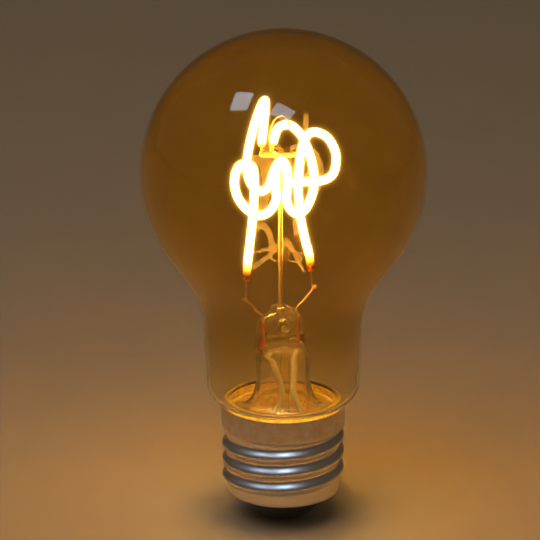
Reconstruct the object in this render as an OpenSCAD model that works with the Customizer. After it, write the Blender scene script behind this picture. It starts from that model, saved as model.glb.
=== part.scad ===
// Filament lamp: two long flexible glowing strands bent into loops on a glass stem,
// sealed in an amber globe on an Edison screw cap that holds the driver.
// Millimetres. The origin is the tip of the centre contact and +Z runs up to the dome.

/* [Globe] */
// Outer diameter of the globe
globe_d = 60; // [57:0.5:63]
// Height of the dome's top above the contact's tip
overall_h = 106.8; // [103:0.2:111]
// Thickness of the glass
glass_t = 0.8; // [0.6:0.1:1.1]
// How far below the equator the round globe ends, in degrees
globe_turn = 35; // [33:0.5:38]
// Radius of the hollow curve from the globe into the neck
throat_r = 18; // [15:0.5:20]
// Outer diameter of the neck below that curve
neck_d = 33.8; // [33:0.2:35]
// Outer diameter of the neck above its rounded foot
neck_foot_d = 32.6; // [31.5:0.2:33.6]
// Radius of the neck's rounded foot
foot_r = 4.6; // [4.3:0.1:5.4]
// Outer diameter of the glass inside the cap
tail_d = 24.4; // [23.8:0.1:24.8]
// Height of the glass above the cap's rim where the foot ends
glass_lift = 0.4; // [0.2:0.1:0.8]
// Depth of the glass inside the cap
tail_depth = 1; // [0.8:0.1:1.8]
// Height above the contact's tip where the cement inside the cap ends
cement_z = 17.4; // [16.8:0.2:19]

/* [Screw cap] */
// Height of the cap's rim above the contact's tip
cap_h = 26; // [25:0.2:27]
// Diameter over the thread's crests
thread_d = 26.2; // [26:0.05:26.4]
// Depth from crest to root
thread_depth = 1; // [0.8:0.05:1.1]
// Rise of the thread in one turn
thread_pitch = 3.629; // [3.5:0.001:3.8]
// Outer diameter of the plain band at the rim
band_d = 26.4; // [26.2:0.1:27]
// Height of the plain band
band_h = 4.6; // [4:0.2:6]
// Thickness of the cap's sheet metal
sheet_t = 0.3; // [0.25:0.05:0.4]
// Height of the cap's turned-in lip above the contact's tip
lip_z = 6.2; // [5.6:0.1:6.8]
// Inner diameter of the lip
lip_d = 20.8; // [20:0.2:21.6]
// Diameter of the centre contact's plate
contact_d = 9.4; // [8.6:0.2:10]
// Thickness of the contact's plate
contact_t = 0.45; // [0.3:0.05:0.6]
// Diameter of the solder's flat tip
tip_d = 3; // [2.4:0.2:3.6]
// Height of the solder below the contact's plate
tip_h = 0.55; // [0.4:0.05:0.8]

/* [Stem] */
// Outer diameter of the stem's tube
tube_d = 11.8; // [11.4:0.1:12.2]
// Wall of the stem's tube
tube_t = 1; // [0.8:0.1:1.2]
// Height where the tube meets the flattened press
press_z = 38.5; // [37.5:0.5:39.5]
// Height of the press's top
press_top = 47.4; // [46.4:0.2:48.4]
// Width of the press
press_w = 11.4; // [11:0.1:11.8]
// Thickness of the press
press_t = 4.2; // [3.8:0.1:4.6]
// Turn of the press about the lamp's axis, in degrees
press_turn = 30; // [20:5:40]
// Sideways place of the press and the rod, which stand a little off the axis
stem_x = -0.7; // [-0.9:0.1:0]
// Distance between the two wires sealed in the press
lead_gap = 8; // [7.6:0.1:8.2]
// Diameter of the sealed wires
seal_wire_d = 0.6; // [0.5:0.05:0.7]
// Diameter of the hole that the air was pumped through
blow_hole_d = 2; // [1.6:0.1:2.2]
// Outer diameter of the exhaust tube
exhaust_d = 3.2; // [2.8:0.1:3.4]
// Bore of the exhaust tube
exhaust_bore = 1.8; // [1.4:0.1:2]
// Height of the exhaust tube's sealed tip
exhaust_tip_z = 18.6; // [17.6:0.2:20]

/* [Filaments] */
// Diameter of a filament
filament_d = 1.7; // [1.5:0.05:1.75]
// Diameter of the centre rod
rod_d = 1.1; // [0.9:0.1:1.3]
// Height of the centre rod's top
rod_top = 80; // [79:0.5:81]
// Diameter of the bar across the rod's top
bar_d = 1.1; // [0.9:0.05:1.2]
// Diameter of the wire arm welded to the rod's front
arm_d = 0.6; // [0.5:0.05:0.7]
// Diameter of the support hook's wire
hook_d = 0.3; // [0.25:0.05:0.4]
// Diameter of the lead wires inside the globe
lead_d = 0.55; // [0.45:0.05:0.65]
// Diameter of the filaments' end pins
pin_d = 0.4; // [0.3:0.05:0.5]

/* [Driver] */
// Diameter of the driver's round board
board_d = 22.4; // [21.6:0.2:22.8]
// Thickness of the board
board_t = 1; // [0.8:0.1:1.2]
// Height of the board's underside
board_z = 14; // [13.6:0.2:14.6]
// Diameter of the smoothing capacitor
capacitor_d = 5; // [4.6:0.2:5.4]
// Height of the smoothing capacitor
capacitor_h = 6.6; // [6:0.2:7]
// Diameter of the fuse resistor
fuse_d = 2.4; // [2:0.1:2.8]
// Length of the fuse resistor
fuse_h = 5.6; // [5:0.2:6]
// Outer diameter of the sleeves on the outer leads
sleeve_d = 1.3; // [1.2:0.05:1.4]
// Wall of those sleeves
sleeve_t = 0.25; // [0.2:0.05:0.3]
// Diameter of the outer leads
outer_lead_d = 0.45; // [0.4:0.05:0.5]

/* [Hidden] */
$fn = 48;

// Fit: a gap left round whatever passes through something else
slip = 0.05;
eps = 0.01;

// Globe and neck
globe_r = globe_d / 2;
globe_z = overall_h - globe_r;
arc_step = 5;
tail_r = tail_d / 2;
tail_z = cap_h - tail_depth;
// Angle that the rounded foot turns through before it meets the tail
function foot_turn(r, tail) = acos((tail - (neck_foot_d / 2 - foot_r)) / r);
foot_z = cap_h + glass_lift + foot_r * sin(foot_turn(foot_r, tail_r));

// Stem
press_at = [stem_x, 0, 0];
press_u = [cos(press_turn), sin(press_turn), 0];
flare_t = 0.8;
tube_r = tube_d / 2;
bore_r = tube_r - tube_t;
ceiling_z = press_z + 0.8;
shoulder_z = press_z - 2.2;
blow_z = press_z + 5.5;
blow_lip = 0.45;
rod_hole = 3;
bead_r = rod_d / 2 + 1.35;
bead_h = 0.7;
exhaust_at = [0.3, 1.2, 0];
seal_top = press_top - 2.4;
seal_foot = press_z + 0.5;
lead_top = seal_foot - 3 * slip;
sleeve_top = seal_foot - 1.1;

// Hub where the two filaments join, which their points are measured from
hub = [stem_x, 0, rod_top];

// Cap
crest_r = thread_d / 2;
root_r = crest_r - thread_depth;
thread_z = lip_z + 1.6;
thread_end = cap_h - band_h;
seat_z = lip_z + sheet_t + 0.1;
insulator_d = 22.6;
rivet_r = 1.1;
button_hole_r = 1.5;
plate_z = tip_h;
insulator_z = plate_z + contact_t;

// Driver
board_top = board_z + board_t;
lead_foot_left = [-3.4, -3.2, 0];
lead_foot_right = [4.6, -2.2, 0];
fuse_z = board_z - 1.6 - fuse_h;

// Share of its thickness that a filament keeps at its end faces
tip_taper = 0.62;

// Routes, chosen by hand. The filaments' are measured from the hub.
front_route = [
    [-7.1, -4.3, -25.5], [-6.7, -4.6, -20.7], [-6, -5.2, -14.4], [-5.5, -6, -9],
    [-5.3, -7, -3.7], [-5.5, -8.5, 0], [-6.7, -10.2, 1.5], [-8.2, -10.5, 1.3],
    [-9.2, -9.8, -0.9], [-9.3, -9.2, -3.6], [-8.4, -9, -6.5], [-6.3, -9.2, -8.8],
    [-4.2, -9.2, -9.7], [-2.1, -8.2, -9], [-0.8, -6.5, -7], [-0.9, -5, -4.3],
    [-0.8, -3.8, -1.5], [0.2, -3.2, 0.3], [1.3, -3.4, -1], [1.6, -4.4, -4],
    [1.3, -5.8, -7.1], [2, -7, -8.9], [3.5, -7.8, -9.7], [5.2, -7.8, -8.7],
    [6.5, -7, -6.1], [7, -6.2, -2.9], [6.5, -5.6, 0.7], [5.4, -5.4, 4.1],
    [3.9, -5.6, 6.9], [1.8, -6, 8.7], [-0.2, -6, 8.2], [-1.1, -5.2, 6.2], [-1.4, -4.2, 4.1]];
back_route = [
    [6.6, 4, -26.2], [6.3, 4, -22.9], [5.2, 3.6, -18.4], [4.3, 2.8, -13.7],
    [3.9, 1.6, -9.2], [3.8, 1.2, -6], [4, 1.5, -2.4], [4.6, 2.4, 1.7],
    [5.9, 3, 4.3], [7.9, 3.6, 4.5], [10.1, 3.9, 3.1], [11.6, 3.9, 0.2],
    [11.7, 3.9, -2.6], [10.9, 3.9, -4.9], [8.9, 3.9, -6], [6.4, 3.9, -6.2],
    [3.9, 3.7, -6.4], [2, 3.2, -6.2], [1.5, 2.8, -4.7], [1.2, 2.3, -2.6],
    [0.1, 2, -1.3], [-1, 2.1, -2.7], [-1.7, 1.9, -4.7], [-2.5, 2, -6.9],
    [-4.2, 2.2, -7.9], [-5.9, 2.2, -6.6], [-6.9, 2.1, -3.7], [-6.8, 2, -0.1],
    [-5.9, 2.2, 4.4], [-4.5, 2.6, 9.1], [-3.2, 1.7, 11.9], [-3.1, 0.1, 10.2],
    [-3.5, 0.1, 6.4], [-3.9, 0.3, 2.3]];
front_top = front_route[len(front_route) - 1];
back_top = back_route[len(back_route) - 1];
arch_top = front_route[29];

// Bar, arm and hook on the rod's top, measured from the hub
bar_z = bar_d / 2 + slip;
bar_route = [[-4.3, 0, bar_z + 0.15], [0, 0, bar_z], [3.3, 0.7, bar_z]];
arm_y = -rod_d / 2 - arm_d / 2 - slip;
arm_end = front_top + [-0.3, 0.5, -1.65];
arm_route = [
    [0.2, arm_y, -3], [0.2, arm_y, -1.4], [-0.1, arm_y - 0.25, -0.1], arm_end + [0.9, 1.5, -0.95], arm_end];
hook_over = filament_d / 2 + hook_d / 2 + 4 * slip;
hook_route = [
    [-2, 0, 2 * bar_z + 0.15], [-2.1, -0.7, 3.6], [-1.9, -1.8, 6.6], arch_top + [-2.9, 2.6, 0.4],
    arch_top + [-1.4, 1.1, 0.5 + hook_over], arch_top + [-0.4, 0, 0.05 + hook_over],
    arch_top + [0, -hook_over, 0.2], arch_top + [0.1, -hook_over, -0.7]];

// Where the four end pins reach the wires that they are welded to, measured from the hub
front_foot_weld = [-7.1, -4.3, -29.5];
front_top_weld = arm_end + [0.1, 0.1, 0.45];
back_foot_weld = [7, 3.7, -29.7];
back_top_weld = [-3.95, 0, bar_z + 0.14];
weld_gap = 3 * slip;

function unit(v) = v / norm(v);

// A smooth curve through points, with n steps from each to the next
function smooth(p, n) = [
    for (i = [0 : len(p) - 2])
        let (a = p[max(i - 1, 0)], b = p[i], c = p[i + 1], d = p[min(i + 2, len(p) - 1)])
        for (k = [0 : n - 1])
            let (t = k / n)
            0.5 * (2 * b + (c - a) * t + (2 * a - 5 * b + 4 * c - d) * t * t
                   + (3 * b - a - 3 * c + d) * t * t * t),
    p[len(p) - 1]];

function headings(p) = [
    for (i = [0 : len(p) - 1]) unit(p[min(i + 1, len(p) - 1)] - p[max(i - 1, 0)])];

// A side direction at each point that turns as little as it can along the curve
function sides(t, i = 0, found = []) =
    i == len(t) ? found :
    let (last = i == 0 ? (abs(t[0].z) < 0.8 ? [0, 0, 1] : [1, 0, 0]) : found[i - 1])
    sides(t, i + 1, concat(found, [unit(last - (last * t[i]) * t[i])]));

// Rings of n points along a curve, the two end ones drawn in to a share of the radius
function rings(p, r, n, ends = 1) =
    let (t = headings(p), u = sides(t), last = len(p) - 1)
    [for (i = [0 : last]) let (size = i == 0 || i == last ? ends * r : r) for (k = [0 : n - 1])
        p[i] + size * (cos(360 * k / n) * u[i] + sin(360 * k / n) * cross(t[i], u[i]))];

// Faces between m rings of n points, and from the last ring to the first if looped
function skin(m, n, looped) = [
    for (i = [0 : m - (looped ? 1 : 2)]) for (k = [0 : n - 1])
        let (j = (i + 1) % m, l = (k + 1) % n)
        each [[i * n + k, j * n + k, j * n + l], [i * n + k, j * n + l, i * n + l]]];

// A round wire along a smooth curve, with its ends drawn in to a share of its thickness
module wire(route, d, around = 8, steps = 3, ends = 1) {
    p = smooth(route, steps);
    m = len(p);
    first = [for (k = [0 : around - 1]) k];
    last = [for (k = [around - 1 : -1 : 0]) (m - 1) * around + k];
    polyhedron(rings(p, d / 2, around, ends), concat([first], skin(m, around, false), [last]), convexity = 10);
}

// A hollow sleeve along a smooth curve
module sleeve(route, d, wall, around = 8, steps = 3) {
    p = smooth(route, steps);
    m = len(p);
    outer = rings(p, d / 2, around);
    inner = rings(p, d / 2 - wall, around);
    back = [for (i = [m - 1 : -1 : 0]) for (k = [0 : around - 1]) inner[i * around + k]];
    polyhedron(concat(outer, back), skin(2 * m, around, true), convexity = 10);
}

function arc(centre, r, from, to) =
    let (n = max(2, ceil(abs(to - from) / arc_step)))
    [for (i = [0 : n]) let (a = from + (to - from) * i / n) centre + r * [cos(a), sin(a)]];

// Outline of the glass from the dome's top down to the tail, drawn in by the given depth
function glass_line(depth) =
    let (r = globe_r - depth, throat = throat_r + depth, neck = neck_d / 2 - depth,
         throat_z = globe_z + ((neck + throat) * cos(globe_turn) - r - throat) / sin(globe_turn),
         foot = foot_r - depth, turn = foot_turn(foot, tail_r - depth))
    concat(
        arc([0, globe_z], r, 90, -globe_turn),
        arc([neck + throat, throat_z], throat, 180 - globe_turn, 180),
        arc([neck_foot_d / 2 - foot_r, foot_z], foot, 0, -turn),
        [[tail_r - depth, tail_z]]);

function reversed(p) = [for (i = [len(p) - 1 : -1 : 0]) p[i]];

module glass_envelope() {
    color("#c9a04a", 0.35)
        rotate_extrude($fn = 96)
            polygon(concat(glass_line(0), reversed(glass_line(glass_t))));
}

// Half outline of the flared foot of the stem, from its rim in and up to the tube
function flare_line(depth) = [
    [tail_r - 0.8 - depth * 1.2, tail_z - depth], [tube_r + 3.6 - depth, tail_z + 0.3 - depth],
    [tube_r + 2.2 - depth, tail_z + 0.9 - depth], [tube_r + 1.1 - depth, tail_z + 2 - depth],
    [tube_r + 0.3 - depth, tail_z + 3.8 - depth], [tube_r - 0.2 - depth, tail_z + 6.4 - depth],
    [tube_r - tube_t * (depth / flare_t), tail_z + 10]];

// The two round ends of a thin slice of the press, for a hull to join
module press_slice(w, t, z) {
    translate(press_at + [0, 0, z]) rotate(press_turn)
        for (s = [-1, 1]) translate([s * (w - t) / 2, 0, 0]) cylinder(d = t, h = eps, $fn = 32);
}

// Glass flare, tube and flattened press in one, with the sealed wires' bores
module glass_stem() {
    color("#d8c9a0", 0.6)
        difference() {
            union() {
                rotate_extrude()
                    polygon(concat(
                        [[tail_r, tail_z - flare_t], [tail_r, tail_z]], flare_line(0),
                        [[tube_r, shoulder_z], [bore_r, shoulder_z]],
                        reversed(flare_line(flare_t))));
                difference() {
                    union() {
                        hull() {
                            translate([0, 0, shoulder_z]) cylinder(r = tube_r, h = eps, $fn = 32);
                            translate([0, 0, shoulder_z + 1.1]) cylinder(r = tube_r - 0.35, h = eps, $fn = 32);
                            press_slice(press_w - 0.3, press_t + 3.8, press_z + 0.5);
                        }
                        hull() {
                            press_slice(press_w - 0.3, press_t + 3.8, press_z + 0.4);
                            press_slice(press_w, press_t + 1.4, press_z + 1.8);
                            press_slice(press_w, press_t, press_z + 3.6);
                        }
                    }
                    translate([0, 0, shoulder_z - 1]) cylinder(r = bore_r, h = press_z - shoulder_z + 1);
                    translate([0, 0, press_z - eps]) cylinder(r1 = bore_r, r2 = bore_r - 1.9, h = ceiling_z - press_z);
                }
                hull() {
                    press_slice(press_w, press_t, press_z + 3.5);
                    press_slice(press_w, press_t, press_top - 3.4);
                    press_slice(press_w - 0.9, press_t - 0.25, press_top - 2.2);
                    press_slice(press_w - 2.3, press_t - 0.5, press_top - 1.2);
                    press_slice(press_w - 4, press_t - 0.9, press_top - 0.5);
                    press_slice(press_w - 6, press_t - 1.6, press_top - eps);
                }
                translate(press_at + [0, 0, press_top - eps])
                    rotate_extrude()
                        polygon([[0, -0.2], [bead_r, -0.2], [bead_r - 0.15, bead_h * 0.6], [bead_r - 0.7, bead_h], [0, bead_h]]);
                translate(press_at + [0, 0, blow_z]) rotate([90, 0, press_turn])
                    translate([0, 0, press_t / 2 - 0.2])
                        rotate_extrude()
                            translate([blow_hole_d / 2 + blow_lip + 0.1, 0]) circle(r = blow_lip, $fn = 16);
            }
            for (s = [-1, 1])
                translate(press_at + s * lead_gap / 2 * press_u + [0, 0, seal_foot - 0.5])
                    cylinder(d = seal_wire_d + 2 * slip, h = press_top - seal_foot + 1);
            translate(press_at + [0, 0, press_top - rod_hole]) cylinder(d = rod_d + 2 * slip, h = rod_hole + 2);
            translate(press_at + [0, 0, blow_z]) rotate([90, 0, press_turn])
                cylinder(d = blow_hole_d, h = press_t);
            translate([exhaust_at.x, exhaust_at.y, ceiling_z - 1]) cylinder(d = exhaust_bore, h = blow_z - ceiling_z + 1);
        }
}

// Tube that the globe was emptied and filled through, sealed at its tip
module exhaust_tube() {
    r = exhaust_d / 2;
    color("#dccfa8", 0.6)
        translate([exhaust_at.x, exhaust_at.y, 0])
            rotate_extrude($fn = 32)
                polygon(concat(
                    [[0, exhaust_tip_z]], arc([0, exhaust_tip_z + r], r, -60, 0),
                    [[r, ceiling_z - slip], [exhaust_bore / 2, ceiling_z - slip],
                     [exhaust_bore / 2, exhaust_tip_z + 2.4], [0, exhaust_tip_z + 1.6]]));
}

module centre_rod() {
    color("#b9a06a")
        translate(press_at + [0, 0, press_top - rod_hole + slip])
            cylinder(d = rod_d, h = rod_top - press_top + rod_hole - slip);
}

// Bar across the rod's top that carries the back filament's upper end
module cross_arm() {
    color("#c8923c") translate(hub) wire(bar_route, bar_d, 12, 2);
}

// Wire welded to the rod's front that carries the front filament's upper end
module diagonal_arm() {
    color("#c8923c") translate(hub) wire(arm_route, arm_d);
}

// Thin wire from the bar over the front filament's arch
module support_hook() {
    color("#c9b27a") translate(hub) wire(hook_route, hook_d, 6);
}

module filament_front() {
    color("#ffe3a0") translate(hub) wire(front_route, filament_d, ends = tip_taper);
}

module filament_back() {
    color("#ffe3a0") translate(hub) wire(back_route, filament_d, ends = tip_taper);
}

// End pins run from a filament's end face to the side of the wire that they are welded to
module end_pin(end, weld, wire_d) {
    out = unit(weld - end);
    translate(hub) wire([end + slip * out, weld - (wire_d / 2 + weld_gap) * out], pin_d, 8, 1);
}

module front_end_pins() {
    color("#b07a3a") {
        end_pin(front_route[0], front_foot_weld, lead_d);
        end_pin(front_top, front_top_weld, arm_d);
    }
}

module back_end_pins() {
    color("#b07a3a") {
        end_pin(back_route[0], back_foot_weld, lead_d);
        end_pin(back_top, back_top_weld, bar_d);
    }
}

// Lead wire from the press out to a filament's foot, ending just past the weld
module inner_lead(side, weld) {
    root = press_at + side * lead_gap / 2 * press_u;
    foot = hub + weld;
    out = unit([foot.x - root.x, foot.y - root.y, 0]);
    wire([root + [0, 0, seal_top + slip], root + [0, 0, press_top - 1.2],
          root + 0.4 * out + [0, 0, press_top - 0.3], root + 1.8 * out + [0, 0, press_top + 0.8],
          foot, foot + 0.9 * out + [0, 0, 0.4]], lead_d);
}

module inner_lead_left() {
    color("#a8762e") inner_lead(-1, front_foot_weld);
}

module inner_lead_right() {
    color("#a8762e") inner_lead(1, back_foot_weld);
}

// Copper-clad wire that the press's glass is sealed to
module seal_wire(side) {
    color("#b4512a")
        translate(press_at + side * lead_gap / 2 * press_u + [0, 0, seal_foot])
            cylinder(d = seal_wire_d, h = seal_top - seal_foot);
}

module seal_wire_left() {
    seal_wire(-1);
}

module seal_wire_right() {
    seal_wire(1);
}

// Routes of the outer leads from the press down to the board
function left_lead_route() =
    let (top = press_at - lead_gap / 2 * press_u)
    [top + [0, 0, lead_top], top + [0.08, 0.05, lead_top - 0.4], top + [0.7, 0.4, sleeve_top],
     [-2.6, -2.3, 36.4], [-1.4, -2.8, 33.8], [-0.5, -2.9, 31], [-0.2, -3, 29], [-0.6, -3.2, 27],
     [-1.5, -3.5, 24.6], lead_foot_left + [0, 0, 19.4], lead_foot_left + [0, 0, board_top + 2],
     lead_foot_left + [0, 0, board_top - 0.3]];
function right_lead_route() =
    let (top = press_at + lead_gap / 2 * press_u)
    [top + [0, 0, lead_top], top + [0, -0.08, lead_top - 0.4], top + [0.1, -0.7, sleeve_top],
     [2.5, 0.3, 36], [2.3, -0.9, 33.3], [2.1, -1.9, 30.8], [2.1, -2.4, 29], [2.6, -2.8, 27.2],
     [3.7, -2.9, 24.6], lead_foot_right + [0, 0, 19.4], lead_foot_right + [0, 0, board_top + 2],
     lead_foot_right + [0, 0, board_top - 0.3]];

// Part of a route that a sleeve covers: all but its first two points and its bare foot
function sleeved(route) = [for (i = [2 : len(route) - 2]) route[i]];

module outer_lead_left() {
    color("#b87333") wire(left_lead_route(), outer_lead_d, 6);
}

module outer_lead_right() {
    color("#b87333") wire(right_lead_route(), outer_lead_d, 6);
}

module lead_sleeve_left() {
    color("#ece6d2", 0.8) sleeve(sleeved(left_lead_route()), sleeve_d, sleeve_t);
}

module lead_sleeve_right() {
    color("#ece6d2", 0.8) sleeve(sleeved(right_lead_route()), sleeve_d, sleeve_t);
}

// The cap's sheet: radius of its outer face at a height and a direction
function ease(x) = let (c = min(max(x, 0), 1)) c * c * (3 - 2 * c);
function fade(z) = ease((z - thread_z) / 2) * ease((thread_end - z) / 2);
function band(z) = ease((z - thread_end + 1.2) / 1.2);
function shell_r(z, a) =
    let (mid = crest_r - thread_depth / 2,
         wave = thread_depth / 2 * cos(360 * (z - thread_z) / thread_pitch - a))
    (root_r + (mid - root_r) * fade(z) + wave * fade(z)) * (1 - band(z)) + band_d / 2 * band(z);

shell_around = 48;
thread_rings = 30;
// Heights of the rings, from the lip's bend up to the rim
shell_heights = concat(
    [lip_z + 0.9],
    [for (i = [0 : thread_rings]) thread_z + (thread_end - thread_z) * i / thread_rings],
    [cap_h]);

// Screw shell: one sheet of metal pressed into a round thread that fades out at both ends
module cap_shell() {
    n = shell_around;
    function ring(r, z) = [for (k = [0 : n - 1]) [r * cos(360 * k / n), r * sin(360 * k / n), z]];
    function wall(z, inward) = [
        for (k = [0 : n - 1]) let (a = 360 * k / n, r = shell_r(z, a) - inward) [r * cos(a), r * sin(a), z]];
    outer = [ring(lip_d / 2, lip_z), ring(root_r - 0.6, lip_z), ring(root_r - 0.15, lip_z + 0.3),
             for (z = shell_heights) wall(z, 0)];
    inner = [for (z = reversed(shell_heights)) wall(z, sheet_t),
             ring(root_r - 0.15 - sheet_t, lip_z + 0.3 + sheet_t),
             ring(root_r - 0.7 - sheet_t / 2, lip_z + sheet_t), ring(lip_d / 2, lip_z + sheet_t)];
    all_rings = concat(outer, inner);
    color("#c9c9c6")
        polyhedron([for (r = all_rings) each r], skin(len(all_rings), n, true), convexity = 10);
}

// Cement between the glass and the cap's rim, and down inside the cap under the stem's foot
module cap_cement() {
    inner = tail_r + slip;
    outer = band_d / 2 - sheet_t - slip;
    low = root_r - sheet_t - slip;
    face = tail_r - 1.6;
    under = tail_z - flare_t - slip / 2;
    color("#b98f3c")
        rotate_extrude()
            polygon([[face, under], [face + 0.1, cement_z + 0.8], [face + 0.6, cement_z], [low, cement_z],
                     [low, thread_end - 0.2], [outer, thread_end + 0.6], [outer, cap_h],
                     [inner + 0.3, cap_h + glass_lift * 0.6], [inner, cap_h + glass_lift * 0.6], [inner, under]]);
}

// Black glass button that keeps the contact apart from the screw shell
module cap_insulator() {
    color("#1c1a1d")
        rotate_extrude()
            polygon([[button_hole_r, insulator_z], [contact_d / 2 + 0.5, insulator_z], [contact_d / 2 + 1.2, insulator_z + 0.3],
                     [lip_d / 2 - 0.4, lip_z - 0.9], [lip_d / 2 - 0.15, lip_z - 0.3], [lip_d / 2 - 0.15, seat_z],
                     [insulator_d / 2, seat_z], [insulator_d / 2, seat_z + 1.5], [insulator_d / 2 - 1.6, seat_z + 1.8],
                     [3.2, insulator_z + 2.6], [button_hole_r, insulator_z + 2]]);
}

module centre_contact() {
    color("#c8a45a")
        rotate_extrude()
            polygon([[rivet_r, plate_z], [contact_d / 2 - 0.3, plate_z], [contact_d / 2, plate_z + 0.15],
                     [contact_d / 2, plate_z + contact_t - slip / 2], [rivet_r, plate_z + contact_t - slip / 2]]);
}

// Drop of solder whose flat tip is the lowest point of the lamp
module contact_solder() {
    color("#d2d2cf")
        rotate_extrude()
            polygon([[0, 0], [tip_d / 2, 0], [tip_d / 2 + 0.7, tip_h * 0.3], [tip_d / 2 + 1.1, plate_z - slip / 2],
                     [rivet_r - slip, plate_z - slip / 2], [rivet_r - slip, insulator_z + 0.8], [0, insulator_z + 1]]);
}

module driver_board() {
    color("#2f6b3c")
        difference() {
            translate([0, 0, board_z]) cylinder(d = board_d, h = board_t);
            for (at = [lead_foot_left, lead_foot_right, [0, 0, 0], [-7.6, -3.4, 0]])
                translate(at + [0, 0, board_z - 1]) cylinder(d = outer_lead_d + 0.2, h = board_t + 2, $fn = 16);
        }
}

module bridge_rectifier() {
    color("#202124")
        translate([-3.6, 2.2, board_z - 0.8]) {
            translate([0, 0, -0.05]) cube([4.7, 3.9, 1.4], center = true);
            for (sx = [-1, 1], sy = [-1, 1])
                translate([sx * 2.7, sy * 1.2, 0.6]) cube([0.9, 0.6, 0.2], center = true);
        }
}

module driver_chip() {
    color("#1b1c1f")
        translate([4.4, 2.4, board_z - 0.8]) {
            translate([0, 0, -0.05]) cube([3.9, 4.9, 1.4], center = true);
            for (sx = [-1, 1], k = [0 : 3])
                translate([sx * 2.3, -1.9 + 1.27 * k, 0.6]) cube([0.9, 0.42, 0.2], center = true);
        }
}

// Can with its rolled rim and the groove above its seal
module smoothing_capacitor() {
    r = capacitor_d / 2;
    color("#3a4a66")
        translate([-5, 4.8, board_top + slip / 2])
            rotate_extrude($fn = 32)
                polygon([[0, 0], [r - 0.4, 0], [r, 0.4], [r, 0.9], [r - 0.3, 1.15], [r, 1.4],
                         [r, capacitor_h - 0.4], [r - 0.4, capacitor_h], [0, capacitor_h]]);
}

module fuse_resistor() {
    r = fuse_d / 2;
    color("#7d8f72")
        translate([0, 0, fuse_z])
            rotate_extrude($fn = 32)
                polygon([[0, 0], [r * 0.7, 0], [r, 0.4], [r, 1.2], [r * 0.86, 1.6], [r * 0.86, fuse_h - 1.6],
                         [r, fuse_h - 1.2], [r, fuse_h - 0.4], [r * 0.7, fuse_h], [0, fuse_h]]);
}

module fuse_leads() {
    color("#c4c4c0") {
        translate([0, 0, insulator_z + 1 + slip]) cylinder(d = outer_lead_d, h = fuse_z - insulator_z - 1 - 2 * slip, $fn = 16);
        translate([0, 0, fuse_z + fuse_h + slip]) cylinder(d = outer_lead_d, h = board_top + 0.6 - fuse_z - fuse_h, $fn = 16);
    }
}

module chip_resistors() {
    color("#2a2a2c")
        for (at = [[-1.2, -4.4, 0], [1.8, -4.4, 0], [-5.4, -1.8, 90], [6.6, -2.6, 90]])
            translate([at.x, at.y, board_z - 0.3]) rotate(at.z) cube([2, 1.25, 0.55], center = true);
}

// Wire from the board to the screw shell, pinched above its lip
module shell_wire() {
    color("#b87333")
        wire([[-7.6, -3.4, board_top + 0.6], [-7.6, -3.4, board_z - 1.2], [-8.4, -4.2, 11], [-9.6, -4.9, 9.6],
              [-10.35, -5.2, 8.7]], outer_lead_d, 6);
}

// Collars of solder round the wires that come up through the board
module board_solder() {
    color("#cfcfcc")
        for (at = [lead_foot_left, lead_foot_right, [0, 0, 0], [-7.6, -3.4, 0]])
            translate(at + [0, 0, board_top + slip / 2])
                rotate_extrude($fn = 24)
                    polygon([[outer_lead_d / 2 + slip, 0], [0.95, 0], [0.6, 0.25], [outer_lead_d / 2 + slip, 0.55]]);
}

glass_envelope();
glass_stem();
exhaust_tube();
centre_rod();
cross_arm();
diagonal_arm();
support_hook();
filament_front();
filament_back();
front_end_pins();
back_end_pins();
inner_lead_left();
inner_lead_right();
seal_wire_left();
seal_wire_right();
outer_lead_left();
outer_lead_right();
lead_sleeve_left();
lead_sleeve_right();
cap_shell();
cap_cement();
cap_insulator();
centre_contact();
contact_solder();
driver_board();
bridge_rectifier();
driver_chip();
smoothing_capacitor();
fuse_resistor();
fuse_leads();
chip_resistors();
shell_wire();
board_solder();
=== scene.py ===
import math

import bmesh
import bpy
from bpy.props import FloatProperty, FloatVectorProperty, IntProperty, PointerProperty
from mathutils import Matrix, Vector


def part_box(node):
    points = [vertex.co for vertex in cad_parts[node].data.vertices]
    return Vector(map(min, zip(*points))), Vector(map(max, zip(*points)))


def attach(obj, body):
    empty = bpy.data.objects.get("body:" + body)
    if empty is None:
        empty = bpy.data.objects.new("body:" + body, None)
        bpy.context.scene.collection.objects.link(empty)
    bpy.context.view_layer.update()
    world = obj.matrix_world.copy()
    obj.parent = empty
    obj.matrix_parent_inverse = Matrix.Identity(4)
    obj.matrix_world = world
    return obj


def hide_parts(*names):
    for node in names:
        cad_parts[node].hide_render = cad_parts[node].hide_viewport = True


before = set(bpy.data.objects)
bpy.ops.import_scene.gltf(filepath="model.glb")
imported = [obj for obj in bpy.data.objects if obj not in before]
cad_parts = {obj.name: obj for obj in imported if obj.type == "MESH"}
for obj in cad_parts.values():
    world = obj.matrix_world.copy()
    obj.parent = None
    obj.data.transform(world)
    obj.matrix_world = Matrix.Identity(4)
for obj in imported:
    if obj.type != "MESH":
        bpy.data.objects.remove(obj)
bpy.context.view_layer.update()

bl_info = {
    "name": "Filament Lamp Finish",
    "version": (1, 0, 0),
    "blender": (4, 5, 0),
    "location": "View3D > Sidebar > Lamp",
    "description": "Builds the smooth glass, wires, filaments and screw cap of a filament lamp",
    "category": "Object",
}

MM = 0.001
BODY = "root"

# Points nearer than this, in metres, are merged; edges bent more than the crease stay sharp
SEAM = 1e-7
CREASE = math.radians(38)
TURNED_STEPS = 96

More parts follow.
